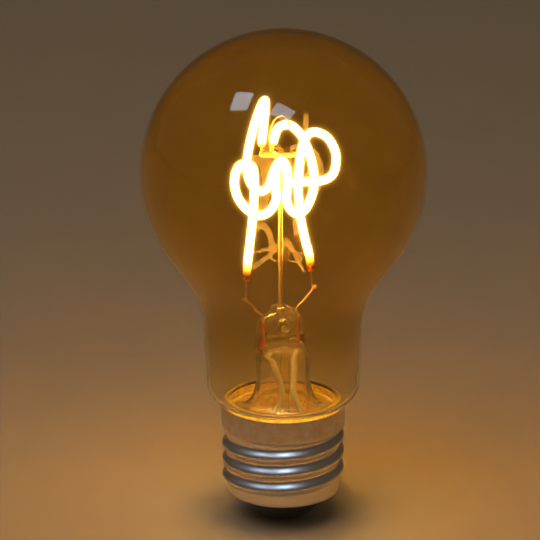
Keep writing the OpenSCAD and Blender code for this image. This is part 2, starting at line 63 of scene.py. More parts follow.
# Heights and radii of the glass, in mm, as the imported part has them
GLASS_LOW, GLASS_HIGH = (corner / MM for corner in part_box("glass_envelope"))
GLOBE_R = GLASS_HIGH.x
GLOBE_Z = GLASS_HIGH.z - GLOBE_R
TAIL_Z = GLASS_LOW.z
TAIL_R = 12.2
GLASS_T = 0.8
GLOBE_TURN_DEG = 35
THROAT_R = 18
NECK_R = 16.9
NECK_FOOT_R = 16.3
FOOT_R = 4.6
GLASS_LIFT = 0.4

# The stem's press and its pumping hole, in mm, and the hub: the rod's top, where routes start from
PRESS_X = -0.7
PRESS_TURN = math.radians(30)
PRESS_TOP = 47.4
BLOW_Z = 44
LEAD_REACH = 4
HUB = Vector((PRESS_X, 0, 80))
PRESS_FACE = 2.1
BLOW_R = 1.05
HOLE_DEPTH = 1.3
HOLE_STEEPNESS = 2.2
STEM_VOXEL = 0.17

# Radii of the rod, wires, pins, weld beads and sleeves, the sleeves' wall, the gap at a weld, and
# the heights of the red wires' ends, in mm
ROD_R = 0.55
BAR_R = 0.55
ARM_R = 0.3
HOOK_R = 0.15
LEAD_R = 0.275
PIN_R = 0.2
FOOT_BEAD_R = 0.34
TOP_BEAD_R = 0.3
SEAL_R = 0.3
OUTER_R = 0.225
SLEEVE_R = 0.65
SLEEVE_T = 0.25
WELD_GAP = 0.05
SEAL_TOP = 45
SEAL_FOOT = 39

# The screw cap, in mm: its thread, plain band, sheet and lip, and the steps that it is made in
CAP_H = 26
CREST_R = 13.1
THREAD_DEPTH = 1
THREAD_PITCH = 3.629
BAND_R = 13.2
BAND_H = 4.6
SHEET_T = 0.3
LIP_Z = 6.2
LIP_R = 10.4
THREAD_FADE = 2
THREAD_LOW = LIP_Z + 1.6
BAND_BLEND = 1.2
SHELL_STEPS = 144
SHELL_ROWS = 110

# The shell's outer radius where the plating starts to be rubbed, and where it is bare, in metres
RUBBED_FROM = 0.01285
RUBBED_BARE = 0.01312

# The glass: heights in metres between which its amber fades out, the number of its pits a metre,
# and their radius as a share of that spacing
CLEAR_BELOW = 0.026
AMBER_ABOVE = 0.046
PITS = 330
PIT_SIZE = 0.045

# Walls of glass that a ray may pass
GLASS_BOUNCES = 28

# Noise that shows as a fine grain, in features a metre, and the depth of fine marks, in metres
FINE_GRAIN = 900
FINE_DEPTH = 0.00005

# Unlit tips of the filaments and the pitch of the chips in them, in metres
FOOT_TIP = 0.0052
TOP_TIP = 0.0012
CHIP_PITCH = 0.0011

# A filament's ends, in mm: how long the drawn-in part is, and how much of the girth the tip keeps
TIP_REACH = 1.6
TIP_SHARE = 0.5

# Routes of the filaments and places of their welds, in mm from the hub
FRONT_ROUTE = [
    (-7.1, -4.3, -25.5), (-6.7, -4.6, -20.7), (-6, -5.2, -14.4), (-5.5, -6, -9),
    (-5.3, -7, -3.7), (-5.5, -8.5, 0), (-6.7, -10.2, 1.5), (-8.2, -10.5, 1.3),
    (-9.2, -9.8, -0.9), (-9.3, -9.2, -3.6), (-8.4, -9, -6.5), (-6.3, -9.2, -8.8),
    (-4.2, -9.2, -9.7), (-2.1, -8.2, -9), (-0.8, -6.5, -7), (-0.9, -5, -4.3),
    (-0.8, -3.8, -1.5), (0.2, -3.2, 0.3), (1.3, -3.4, -1), (1.6, -4.4, -4),
    (1.3, -5.8, -7.1), (2, -7, -8.9), (3.5, -7.8, -9.7), (5.2, -7.8, -8.7),
    (6.5, -7, -6.1), (7, -6.2, -2.9), (6.5, -5.6, 0.7), (5.4, -5.4, 4.1),
    (3.9, -5.6, 6.9), (1.8, -6, 8.7), (-0.2, -6, 8.2), (-1.1, -5.2, 6.2), (-1.4, -4.2, 4.1)]
BACK_ROUTE = [
    (6.6, 4, -26.2), (6.3, 4, -22.9), (5.2, 3.6, -18.4), (4.3, 2.8, -13.7),
    (3.9, 1.6, -9.2), (3.8, 1.2, -6), (4, 1.5, -2.4), (4.6, 2.4, 1.7),
    (5.9, 3, 4.3), (7.9, 3.6, 4.5), (10.1, 3.9, 3.1), (11.6, 3.9, 0.2),
    (11.7, 3.9, -2.6), (10.9, 3.9, -4.9), (8.9, 3.9, -6), (6.4, 3.9, -6.2),
    (3.9, 3.7, -6.4), (2, 3.2, -6.2), (1.5, 2.8, -4.7), (1.2, 2.3, -2.6),
    (0.1, 2, -1.3), (-1, 2.1, -2.7), (-1.7, 1.9, -4.7), (-2.5, 2, -6.9),
    (-4.2, 2.2, -7.9), (-5.9, 2.2, -6.6), (-6.9, 2.1, -3.7), (-6.8, 2, -0.1),
    (-5.9, 2.2, 4.4), (-4.5, 2.6, 9.1), (-3.2, 1.7, 11.9), (-3.1, 0.1, 10.2),
    (-3.5, 0.1, 6.4), (-3.9, 0.3, 2.3)]
FRONT_FOOT_WELD = (-7.1, -4.3, -29.5)
FRONT_TOP_WELD = (-1.6, -3.6, 2.9)
BACK_FOOT_WELD = (7, 3.7, -29.7)
BACK_TOP_WELD = (-3.95, 0, 0.74)


class LampSettings(bpy.types.PropertyGroup):
    """Sizes and colours of the lamp's finish"""
    filament_d: FloatProperty(
        name="Filament diameter", description="Diameter of a filament's coat",
        default=1.7 * MM, unit="LENGTH")
    glow: FloatProperty(
        name="Glow", description="Strength of the filaments' light", default=80.0, min=0.0)
    glow_colour: FloatVectorProperty(
        name="Glow colour", description="Colour of the filaments' light",
        default=(1.0, 0.63, 0.24), subtype="COLOR")
    amber: FloatVectorProperty(
        name="Amber", description="Tint of the globe's glass in one wall",
        default=(0.80, 0.62, 0.24), subtype="COLOR")
    clear: FloatVectorProperty(
        name="Neck tint", description="Tint of the glass at the neck",
        default=(0.93, 0.87, 0.66), subtype="COLOR")
    nickel: FloatVectorProperty(
        name="Nickel", description="Colour of the screw shell's plating",
        default=(0.78, 0.74, 0.67), subtype="COLOR")
    brass: FloatVectorProperty(
        name="Brass", description="Colour of the screw shell's bare inner face",
        default=(0.72, 0.47, 0.16), subtype="COLOR")
    floor_colour: FloatVectorProperty(
        name="Floor", description="Colour of the plain floor",
        default=(0.67, 0.58, 0.46), subtype="COLOR")
    around: IntProperty(
        name="Steps around", description="Steps around the glass", default=128, min=32, max=256)


def settings():
    """The sizes and colours that a user may change."""
    return bpy.context.scene.lamp_settings


# Making meshes


def finish_mesh(bm, name, material, replaces):
    """Turns a bmesh into a piece that rides on the lamp's one body."""
    bmesh.ops.remove_doubles(bm, verts=bm.verts, dist=SEAM)
    bmesh.ops.recalc_face_normals(bm, faces=bm.faces)
    for face in bm.faces:
        face.smooth = True
    for edge in bm.edges:
        edge.smooth = len(edge.link_faces) != 2 or edge.calc_face_angle() < CREASE
    mesh = bpy.data.meshes.new(name)
    bm.to_mesh(mesh)
    bm.free()
    piece = bpy.data.objects.new(name, mesh)
    bpy.context.scene.collection.objects.link(piece)
    piece.data.materials.append(material)
    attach(piece, BODY)
    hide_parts(*replaces)
    return piece


def ease(x):
    """0 to 1, starting and ending gently."""
    x = min(max(x, 0), 1)
    return x * x * (3 - 2 * x)


def arc(centre, radius, start, end, step=1.5):
    """Points of an arc in the (r, z) plane, angles in degrees."""
    count = max(2, math.ceil(abs(end - start) / step))
    points = []
    for i in range(count + 1):
        angle = math.radians(start + (end - start) * i / count)
        points.append((centre[0] + radius * math.cos(angle), centre[1] + radius * math.sin(angle)))
    return points


def spun(outline, around, closed=False):
    """A bmesh turned about the lamp's axis from an outline of (r, z) points in mm."""
    bm = bmesh.new()
    verts = [bm.verts.new((r * MM, 0, z * MM)) for r, z in outline]
    edges = [bm.edges.new(pair) for pair in zip(verts, verts[1:])]
    if closed:
        edges.append(bm.edges.new((verts[-1], verts[0])))
    bmesh.ops.spin(
        bm, geom=verts + edges, cent=(0, 0, 0), axis=(0, 0, 1), angle=math.tau,
        steps=around, use_merge=True, use_duplicate=False)
    bmesh.ops.remove_doubles(bm, verts=bm.verts, dist=SEAM)
    return bm


def between(a, b, c, d, t):
    """A point from b to c on the smooth curve that runs through all four."""
    return 0.5 * (2 * b + (c - a) * t + (2 * a - 5 * b + 4 * c - d) * t * t
                  + (3 * b - a - 3 * c + d) * t * t * t)


def smooth_route(points, steps):
    """Points along a smooth curve through the given ones."""
    points = [Vector(p) for p in points]
    last = len(points) - 1
    out = []
    for i in range(last):
        near = [points[min(max(k, 0), last)] for k in (i - 1, i, i + 1, i + 2)]
        out += [between(*near, k / steps) for k in range(steps)]
    out.append(points[-1])
    return out


def rounded(route, reach, blunt, count=5):
    """Draws in both ends of a route over a reach, and gives each point's share of the girth."""
    lengths = [0.0]
    for a, b in zip(route, route[1:]):
        lengths.append(lengths[-1] + (b - a).length)
    total = lengths[-1]

    def at(length):
        i = max(k for k in range(len(route) - 1) if lengths[k] <= length + SEAM)
        return route[i].lerp(route[i + 1], (length - lengths[i]) / (lengths[i + 1] - lengths[i]))

    quarter = [math.pi / 2 * k / count for k in range(count + 1)]
    start = [(at(reach * (1 - math.cos(q))), blunt + (1 - blunt) * math.sin(q)) for q in quarter]
    end = [(at(total - reach * (1 - math.cos(q))), share) for q, (_, share) in zip(quarter, start)]
    clear = 1.1 * reach
    middle = [(p, 1) for p, length in zip(route, lengths) if clear < length < total - clear]
    both = start + middle + end[::-1]
    return [p for p, _ in both], [share for _, share in both]


def swept(bm, route, radius, around, cap=True, girth=None):
    """Sweeps a ring along a route in mm. Stores the length behind each point and that left."""
    along = bm.verts.layers.float.get("along") or bm.verts.layers.float.new("along")
    left = bm.verts.layers.float.get("left") or bm.verts.layers.float.new("left")
    path = [p * MM for p in route]
    lengths = [0.0]
    for a, b in zip(path, path[1:]):
        lengths.append(lengths[-1] + (b - a).length)
    heading = (path[1] - path[0]).normalized()
    place = Matrix.Translation(path[0]) @ heading.to_track_quat("Z", "Y").to_matrix().to_4x4()
    ring = bmesh.ops.create_circle(bm, segments=around, radius=radius * MM, matrix=place)["verts"]
    for v in ring:
        v[left] = lengths[-1]
    edges = list({e for v in ring for e in v.link_edges})
    first = edges
    rings = [ring]
    for i in range(1, len(path)):
        ahead = path[min(i + 1, len(path) - 1)] - path[i - 1]
        turn = heading.rotation_difference(ahead.normalized()).to_matrix().to_4x4()
        heading = ahead.normalized()
        grown = bmesh.ops.extrude_edge_only(bm, edges=edges)["geom"]
        ring = [g for g in grown if isinstance(g, bmesh.types.BMVert)]
        edges = [
            g for g in grown if isinstance(g, bmesh.types.BMEdge) and all(v in ring for v in g.verts)]
        move = Matrix.Translation(path[i]) @ turn @ Matrix.Translation(-path[i - 1])
        bmesh.ops.transform(bm, matrix=move, verts=ring)
        for v in ring:
            v[along] = lengths[i]
            v[left] = lengths[-1] - lengths[i]
        rings.append(ring)
    if girth:
        for ring, centre, share in zip(rings, path, girth):
            bmesh.ops.scale(bm, vec=(share,) * 3, space=Matrix.Translation(-centre), verts=ring)
    if cap:
        bmesh.ops.contextual_create(bm, geom=first)
        bmesh.ops.contextual_create(bm, geom=edges)


def from_hub(points):
    """Places given from the hub, as places of the lamp in mm."""
    return [HUB + Vector(p) for p in points]


def first_ring(bm, radius, around):
    """A ring of vertices about the lamp's axis, in order round; the radius is in mm."""
    ring = bmesh.ops.create_circle(bm, segments=around, radius=radius * MM)["verts"]
    ring.sort(key=lambda v: math.atan2(v.co.y, v.co.x) % math.tau)
    return ring


def ring_edges(bm, ring):
    """The edges that join a ring's vertices."""
    return [bm.edges.get(pair) for pair in zip(ring, ring[1:] + ring[:1])]


def next_ring(bm, ring):
    """Extrudes a ring of vertices and returns the new ring in the same order."""
    made = bmesh.ops.extrude_edge_only(bm, edges=ring_edges(bm, ring))["geom"]
    fresh = {v for v in made if isinstance(v, bmesh.types.BMVert)}
    return [next(e.other_vert(v) for e in v.link_edges if e.other_vert(v) in fresh) for v in ring]


# Materials


def new_material(name):
    """An empty material and its node tree."""
    material = bpy.data.materials.new(name)
    material.use_nodes = True
    tree = material.node_tree
    tree.nodes.clear()
    return material, tree


def shader(tree, **values):
    """A Principled shader with values on its own sockets, joined to the output."""
    made = tree.nodes.new("ShaderNodeBsdfPrincipled")
    for key, value in values.items():
        made.inputs[key.replace("_", " ")].default_value = value
    out = tree.nodes.new("ShaderNodeOutputMaterial")
    tree.links.new(made.outputs[0], out.inputs["Surface"])
    return made, out


def rgba(colour, alpha=1.0):
    """A colour with its opacity."""
    return (colour[0], colour[1], colour[2], alpha)


def ramp(tree, source, stops):
    """A colour ramp fed by a node's value; stops are (position, colour) pairs."""
    made = tree.nodes.new("ShaderNodeValToRGB")
    tree.links.new(source.outputs[0], made.inputs["Fac"])
    elements = made.color_ramp.elements
    while len(elements) < len(stops):
        elements.new(1.0)
    for element, (place, colour) in zip(elements, stops):
        element.position = place
        element.color = rgba(colour)
    return made


def noise(tree, scale, detail=4.0, roughness=0.55):
    """Noise on object coordinates, with a scale in features a metre."""
    where = tree.nodes.new("ShaderNodeTexCoord")
    made = tree.nodes.new("ShaderNodeTexNoise")
    made.inputs["Scale"].default_value = scale
    made.inputs["Detail"].default_value = detail
    made.inputs["Roughness"].default_value = roughness
    tree.links.new(where.outputs["Object"], made.inputs["Vector"])
    return made


def value_range(tree, value, low, high, bottom=0.0, top=1.0, eased_ends=False):
    """Maps a socket's value from low..high to bottom..top."""
    made = tree.nodes.new("ShaderNodeMapRange")
    made.interpolation_type = "SMOOTHSTEP" if eased_ends else "LINEAR"
    made.inputs["From Min"].default_value = low
    made.inputs["From Max"].default_value = high
    made.inputs["To Min"].default_value = bottom
    made.inputs["To Max"].default_value = top
    tree.links.new(value, made.inputs["Value"])
    return made


def height_range(tree, low, high):
    """0 below one height of the lamp and 1 above another, in metres."""
    where = tree.nodes.new("ShaderNodeTexCoord")
    split = tree.nodes.new("ShaderNodeSeparateXYZ")
    tree.links.new(where.outputs["Object"], split.inputs[0])
    return value_range(tree, split.outputs["Z"], low, high, eased_ends=True)


def attribute_range(tree, name, low, high):
    """0 to 1 as a piece's own attribute goes from one value to another."""
    stored = tree.nodes.new("ShaderNodeAttribute")
    stored.attribute_name = name
    return value_range(tree, stored.outputs["Fac"], low, high)


def maths(tree, operation, *values):
    """A Math node; each value is a socket or a number."""
    made = tree.nodes.new("ShaderNodeMath")
    made.operation = operation
    for place, value in enumerate(values):
        if isinstance(value, bpy.types.NodeSocket):
            tree.links.new(value, made.inputs[place])
        else:
            made.inputs[place].default_value = value
    return made


def bump(tree, source, target, strength, distance):
    """Raises a shader's surface by a node's value, over a distance in metres."""
    made = tree.nodes.new("ShaderNodeBump")
    made.inputs["Strength"].default_value = strength
    made.inputs["Distance"].default_value = distance
    tree.links.new(source.outputs[0], made.inputs["Height"])
    tree.links.new(made.outputs[0], target.inputs["Normal"])
    return made


def lets_lamps_through(tree, glass, out, tint, tint_socket=None):
    """Mixes in a clear shader for shadow rays, so that lamps light what the glass holds."""
    path = tree.nodes.new("ShaderNodeLightPath")
    clear = tree.nodes.new("ShaderNodeBsdfTransparent")
    clear.inputs["Color"].default_value = rgba(tint)
    if tint_socket:
        tree.links.new(tint_socket, clear.inputs["Color"])
    mix = tree.nodes.new("ShaderNodeMixShader")
    tree.links.new(path.outputs["Is Shadow Ray"], mix.inputs[0])
    tree.links.new(glass.outputs[0], mix.inputs[1])
    tree.links.new(clear.outputs[0], mix.inputs[2])
    tree.links.new(mix.outputs[0], out.inputs["Surface"])


def amber_glass():
    """Amber in the globe, fading to nearly clear down the neck, with a little haze and fine pits."""
    s = settings()
    material, tree = new_material("amber_glass")
    glass, out = shader(
        tree, Roughness=0.0, IOR=1.5, Transmission_Weight=0.99, Specular_Tint=(0.33, 0.33, 0.33, 1))
    fade = height_range(tree, CLEAR_BELOW, AMBER_ABOVE)
    cloud = noise(tree, 60, 2.0)
    tint = ramp(tree, fade, [(0.0, s.clear), (1.0, s.amber)])
    deep = ramp(tree, cloud, [(0.3, (0.93, 0.93, 0.93)), (0.7, (1.0, 1.0, 1.0))])
    mix = tree.nodes.new("ShaderNodeMix")
    mix.data_type = "RGBA"
    mix.blend_type = "MULTIPLY"
    mix.inputs["Factor"].default_value = 1.0
    # A Mix node has its two colours at inputs 6 and 7, and their product at output 2
    tree.links.new(tint.outputs[0], mix.inputs[6])
    tree.links.new(deep.outputs[0], mix.inputs[7])
    tree.links.new(mix.outputs[2], glass.inputs["Base Color"])
    where = tree.nodes.new("ShaderNodeTexCoord")
    cells = tree.nodes.new("ShaderNodeTexVoronoi")
    cells.inputs["Scale"].default_value = PITS
    tree.links.new(where.outputs["Object"], cells.inputs["Vector"])
    pit = value_range(tree, cells.outputs["Distance"], 0.0, PIT_SIZE, eased_ends=True)
    bump(tree, pit, glass, 0.3, FINE_DEPTH)
    lets_lamps_through(tree, glass, out, s.amber, mix.outputs[2])
    return material


def stem_glass(name, ior, veil, glossy):
    """Clear glass with a faint veil, waves in its press, and the gloss of hot pinching."""
    material, tree = new_material(name)
    glass, out = shader(
        tree, Base_Color=(0.97, 0.93, 0.84, 1), Roughness=0.0, IOR=ior, Transmission_Weight=1 - veil,
        Coat_IOR=2.3, Coat_Roughness=0.18)
    waves = noise(tree, 350, 2.0)
    pinched = height_range(tree, 0.037, 0.041)
    if glossy:
        shine = maths(tree, "MULTIPLY_ADD", pinched.outputs[0], 0.6, 0.4)
        tree.links.new(shine.outputs[0], glass.inputs["Coat Weight"])
    depth = maths(tree, "MULTIPLY", waves.outputs[0], pinched.outputs[0])
    bump(tree, depth, glass, 1.0, 0.0006)
    lets_lamps_through(tree, glass, out, (0.98, 0.95, 0.88))
    return material


def metal(name, colour, roughness, drawn=0.0):
    """Metal with a fine mottle in its colour and gloss; drawn wire spreads light along itself."""
    material, tree = new_material(name)
    face, _ = shader(tree, Metallic=1.0, Anisotropic=drawn, Anisotropic_Rotation=0.25)
    grain = noise(tree, FINE_GRAIN, 5.0)
    shades = ramp(tree, grain, [(0.3, [c * 0.75 for c in colour]), (0.65, colour)])
    tree.links.new(shades.outputs[0], face.inputs["Base Color"])
    gloss = value_range(tree, grain.outputs[0], 0.0, 1.0, roughness * 0.8, roughness * 1.3)
    tree.links.new(gloss.outputs[0], face.inputs["Roughness"])
    bump(tree, grain, face, 0.15, FINE_DEPTH)
    return material


def plastic(name, colour, roughness, scale=700, coat=0.0):
    """Moulded or lacquered surface with a fine grain."""
    material, tree = new_material(name)
    face, _ = shader(tree, Roughness=roughness, Coat_Weight=coat)
    grain = noise(tree, scale, 4.0)
    dark, light = [c * 0.85 for c in colour], [min(c * 1.12, 1) for c in colour]
    shades = ramp(tree, grain, [(0.3, dark), (0.7, light)])
    tree.links.new(shades.outputs[0], face.inputs["Base Color"])
    bump(tree, grain, face, 0.1, FINE_DEPTH)
    return material


def filament_coat():
    """Glowing silicone coat: orange and unlit at the tips, chips showing faintly along it."""
    s = settings()
    material, tree = new_material("filament_coat")
    face, _ = shader(tree, Roughness=0.35)
    foot = attribute_range(tree, "along", 0.0, FOOT_TIP)
    top = attribute_range(tree, "left", 0.0, TOP_TIP)
    lit = maths(tree, "MINIMUM", foot.outputs[0], top.outputs[0])
    body = ramp(tree, lit, [
        (0.0, (0.35, 0.10, 0.01)), (0.5, (0.80, 0.32, 0.04)), (1.0, (1.0, 0.62, 0.18))])
    tree.links.new(body.outputs[0], face.inputs["Base Color"])
    light = ramp(tree, lit, [
        (0.0, (1.0, 0.16, 0.01)), (0.45, (1.0, 0.32, 0.03)), (0.9, s.glow_colour)])
    tree.links.new(light.outputs[0], face.inputs["Emission Color"])
    rise = tree.nodes.new("ShaderNodeFloatCurve")
    curve = rise.mapping.curves[0]
    curve.points[0].location = (0.0, 0.012)
    curve.points[1].location = (1.0, 1.0)
    curve.points.new(0.45, 0.04)
    curve.points.new(0.75, 0.25)
    tree.links.new(lit.outputs[0], rise.inputs["Value"])
    along = tree.nodes.new("ShaderNodeAttribute")
    along.attribute_name = "along"
    wave = maths(tree, "MULTIPLY", along.outputs["Fac"], math.tau / CHIP_PITCH)
    beat = maths(tree, "SINE", wave.outputs[0])
    chips = value_range(tree, beat.outputs[0], -1.0, 1.0, s.glow * 0.7, s.glow)
    strength = maths(tree, "MULTIPLY", rise.outputs[0], chips.outputs[0])
    tree.links.new(strength.outputs[0], face.inputs["Emission Strength"])
    return material


def mottled(name, dark, light, roughness, scale):
    """Baked cement: golden patches over brown."""
    material, tree = new_material(name)
    face, _ = shader(tree, Roughness=roughness, Specular_IOR_Level=0.6)
    patches = noise(tree, scale, 6.0, 0.65)
    shades = ramp(tree, patches, [(0.41, dark), (0.6, light)])
    tree.links.new(shades.outputs[0], face.inputs["Base Color"])
    bump(tree, patches, face, 0.5, 0.0003)
    return material


def sleeve_plastic():
    """Milky sleeve, thin enough to show the wire in it."""
    material, tree = new_material("sleeve")
    face, _ = shader(
        tree, Base_Color=(0.95, 0.92, 0.85, 1), Roughness=0.3, Alpha=0.42, Coat_Weight=0.5)
    grain = noise(tree, FINE_GRAIN, 3.0)
    bump(tree, grain, face, 0.1, FINE_DEPTH)
    return material


# Pieces


def glass_line(depth):
    """Outline of the glass from the dome's top to its tail, drawn in by a depth in mm."""
    turn = math.radians(GLOBE_TURN_DEG)
    r, throat, neck = GLOBE_R - depth, THROAT_R + depth, NECK_R - depth
    throat_z = GLOBE_Z + ((neck + throat) * math.cos(turn) - r - throat) / math.sin(turn)
    inset = NECK_FOOT_R - FOOT_R
    outer_turn = math.acos((TAIL_R - inset) / FOOT_R)
    foot_z = CAP_H + GLASS_LIFT + FOOT_R * math.sin(outer_turn)
    foot = FOOT_R - depth
    foot_turn = math.degrees(math.acos((TAIL_R - depth - inset) / foot))
    line = arc((0, GLOBE_Z), r, 90, -GLOBE_TURN_DEG)
    line[0] = (0, line[0][1])
    line += arc((neck + throat, throat_z), throat, 180 - GLOBE_TURN_DEG, 180)
    line += arc((inset, foot_z), foot, 0, -foot_turn, 3)
    line.append((TAIL_R - depth, TAIL_Z))
    return line


class LAMP_OT_globe(bpy.types.Operator):
    """Spin the glass globe with its neck and rounded foot"""
    bl_idname = "lamp.globe"
    bl_label = "Glass Globe"

    def execute(self, context):
        outline = glass_line(0) + glass_line(GLASS_T)[::-1]
        bm = spun(outline, settings().around)
        finish_mesh(bm, "globe_glass", amber_glass(), ["glass_envelope"])
        return {"FINISHED"}


# Sections of the stem in mm: (height, radius) where it is round, and towards the press (height,
# half width, half thickness, share of the press's place and turn)
FLARE_OUTER = [
    (24.2, 12.2), (25.0, 12.2), (25.0, 11.4), (25.3, 9.5), (25.9, 8.1), (27.0, 7.0),
    (28.8, 6.2), (31.4, 5.72), (34.0, 5.86), (36.3, 5.9)]
FLARE_INNER = [
    (24.2, 10.45), (24.5, 8.7), (25.1, 7.3), (26.2, 6.2), (28.0, 5.4), (30.6, 4.92), (33.5, 4.88),
    (36.3, 4.9)]
PRESS_OUTER = [
    (37.4, 5.55, 5.45, 0.1), (38.4, 5.45, 4.7, 0.7), (39.4, 5.55, 3.6, 1), (40.8, 5.68, 2.5, 1),
    (42.4, 5.7, 2.1, 1), (44.0, 5.7, 2.1, 1), (45.2, 5.3, 2.0, 1), (46.2, 4.6, 1.8, 1),
    (46.9, 3.7, 1.6, 1), (47.4, 2.6, 1.2, 1)]
DOME_INNER = [(37.6, 4.6, 4.5, 0.2), (38.6, 4.0, 3.4, 0.8), (39.2, 2.8, 2.0, 1), (39.5, 1.2, 0.9, 1)]

# How square the press's corners get, and how much sooner than its thickness it reaches its turn
SLAB_SQUARENESS = 0.45
TURN_LEAD = 1.4

# The bead round the rod's root as (r, z), and the lip round the pumping hole, in mm
BEAD_LINE = [
    (0, 47.0), (1.75, 47.0), (1.95, 47.4), (1.9, 47.75), (1.6, 48.05), (1.1, 48.15), (0, 48.15)]
LIP_RING_R = 1.55
LIP_ROUND = 0.5
LIP_PROUD = 0.2

# The exhaust tube: its place, radii and ends, in mm
EXHAUST_PLACE = (0.3, 1.2)
EXHAUST_R = 1.6
EXHAUST_BORE_R = 0.9
EXHAUST_LOW = 18.6
EXHAUST_TOP = 39.2


def shape_ring(ring, section):
    """Moves a ring's vertices onto a section that is round low down and a slab in the press."""
    z, half_w, half_t, share = section
    power = 1 + SLAB_SQUARENESS * share
    turn = PRESS_TURN * min(share * TURN_LEAD, 1)
    for k, v in enumerate(ring):
        angle = math.tau * k / len(ring)
        c, s = math.cos(angle), math.sin(angle)
        x = half_w * math.copysign(abs(c) ** (1 / power), c)
        y = half_t * math.copysign(abs(s) ** (1 / power), s)
        v.co = Vector((
            (x * math.cos(turn) - y * math.sin(turn) + PRESS_X * share) * MM,
            (x * math.sin(turn) + y * math.cos(turn)) * MM, z * MM))


def grow(bm, ring, sections):
    """Extrudes a ring up through sections and returns the last ring, in order round."""
    for section in sections:
        ring = next_ring(bm, ring)
        shape_ring(ring, section)
    return ring


def add_turned(bm, line, around, place):
    """Adds a closed shape turned from (r, z) points in mm, and puts it in place."""
    part = spun(line, around)
    bmesh.ops.recalc_face_normals(part, faces=part.faces)
    bmesh.ops.transform(part, matrix=place, verts=part.verts)
    mesh = bpy.data.meshes.new("turned")
    part.to_mesh(mesh)
    part.free()
    bm.from_mesh(mesh)
    bpy.data.meshes.remove(mesh)


def fuse(piece, voxel, rounds):
    """Melts a piece's overlapping shapes into one smooth skin."""
    melt = piece.modifiers.new("melt", "REMESH")
    melt.mode = "VOXEL"
    melt.voxel_size = voxel * MM
    melt.use_smooth_shade = True
    flow = piece.modifiers.new("flow", "SMOOTH")
    flow.factor = 0.5
    flow.iterations = rounds
    graph = bpy.context.evaluated_depsgraph_get()
    skin = bpy.data.meshes.new_from_object(piece.evaluated_get(graph))
    piece.modifiers.clear()
    piece.data = skin


def hole_place():
    """Where the pumping hole's centre lies, turned as the press is."""
    place = Matrix.Translation((PRESS_X * MM, 0, BLOW_Z * MM))
    return place @ Matrix.Rotation(PRESS_TURN, 4, "Z")


def eased(sections, steps):
    """More sections between the given ones, on smooth curves."""
    out = []
    last = len(sections) - 1
    for i in range(last):
        near = [sections[min(max(k, 0), last)] for k in (i - 1, i, i + 1, i + 2)]
        for k in range(steps):
            out.append(tuple(between(*values, k / steps) for values in zip(*near)))
    out.append(sections[-1])
    return out


class LAMP_OT_stem(bpy.types.Operator):
    """Loft the glass stem with its flare, tube, flattened press, bead and pumping hole"""
    bl_idname = "lamp.stem"
    bl_label = "Glass Stem"

    def execute(self, context):
        bm = bmesh.new()
        inner = [(z, r, r, 0) for z, r in FLARE_INNER] + DOME_INNER
        outer = [(z, r, r, 0) for z, r in FLARE_OUTER[3:]] + PRESS_OUTER
        rim = [(z, r, r, 0) for z, r in FLARE_OUTER[:3]]
        start = first_ring(bm, FLARE_INNER[0][1], TURNED_STEPS)
        shape_ring(start, inner[0])
        ceiling = grow(bm, start, eased(inner, 3)[1:])
        top = grow(bm, start, rim + eased(outer, 3))
        for ring in (ceiling, top):
            bmesh.ops.contextual_create(bm, geom=ring_edges(bm, ring))
        self.bead(bm)
        self.hole_lip(bm)
        glass = stem_glass("stem_glass", 1.46, 0.04, True)
        stem = finish_mesh(bm, "stem_glass", glass, ["glass_stem"])
        fuse(stem, STEM_VOXEL, 8)
        self.drill(stem.data)
        self.exhaust(stem_glass("exhaust_glass", 1.12, 0.0, False))
        return {"FINISHED"}

    def bead(self, bm):
        """Glass gathered round the rod's root."""
        add_turned(bm, BEAD_LINE, TURNED_STEPS // 2, Matrix.Translation((PRESS_X * MM, 0, 0)))

    def hole_lip(self, bm):
        """Rolled lip round the hole that the air was pumped through."""
        line = arc((LIP_RING_R, 0), LIP_ROUND, 0, 360, 22.5)
        out = Matrix.Translation((0, -(PRESS_FACE + LIP_PROUD) * MM, 0))
        upright = Matrix.Rotation(math.radians(90), 4, "X")
        add_turned(bm, line, TURNED_STEPS // 2, hole_place() @ out @ upright)

    def drill(self, mesh):
        """Sinks the pumping hole into the press, inside its lip."""
        place = hole_place()
        back = place.inverted()
        for v in mesh.vertices:
            local = back @ v.co
            reach = math.hypot(local.x, local.z) / (BLOW_R * MM)
            if reach < 1 and local.y < -0.5 * PRESS_FACE * MM:
                local.y += HOLE_DEPTH * MM * ease(HOLE_STEEPNESS * (1 - reach))
                v.co = place @ local

    def exhaust(self, glass):
        """The sealed tube that the air left by, closed at its lower tip."""
        tip = EXHAUST_LOW + EXHAUST_R
        line = [(0, EXHAUST_LOW)] + arc((0, tip), EXHAUST_R, -60, 0, 10)
        line += [(EXHAUST_R, EXHAUST_TOP), (EXHAUST_BORE_R, EXHAUST_TOP)]
        line += [(EXHAUST_BORE_R, EXHAUST_LOW + 2.4), (0, tip)]
        bm = spun(line, TURNED_STEPS // 3)
        bmesh.ops.translate(bm, vec=[p * MM for p in (*EXHAUST_PLACE, 0)], verts=bm.verts)
        finish_mesh(bm, "exhaust_glass", glass, ["exhaust_tube"])


class LAMP_OT_filaments(bpy.types.Operator):
    """Sweep the two glowing filaments along their bends"""
    bl_idname = "lamp.filaments"
    bl_label = "Filaments"

    def execute(self, context):
        coat = filament_coat()
        radius = settings().filament_d / 2 / MM
        for name, route in (("filament_front", FRONT_ROUTE), ("filament_back", BACK_ROUTE)):
            bm = bmesh.new()
            path, girth = rounded(smooth_route(from_hub(route), 8), TIP_REACH, TIP_SHARE)
            swept(bm, path, radius, 20, girth=girth)
            finish_mesh(bm, "glowing_" + name, coat, [name])
        return {"FINISHED"}


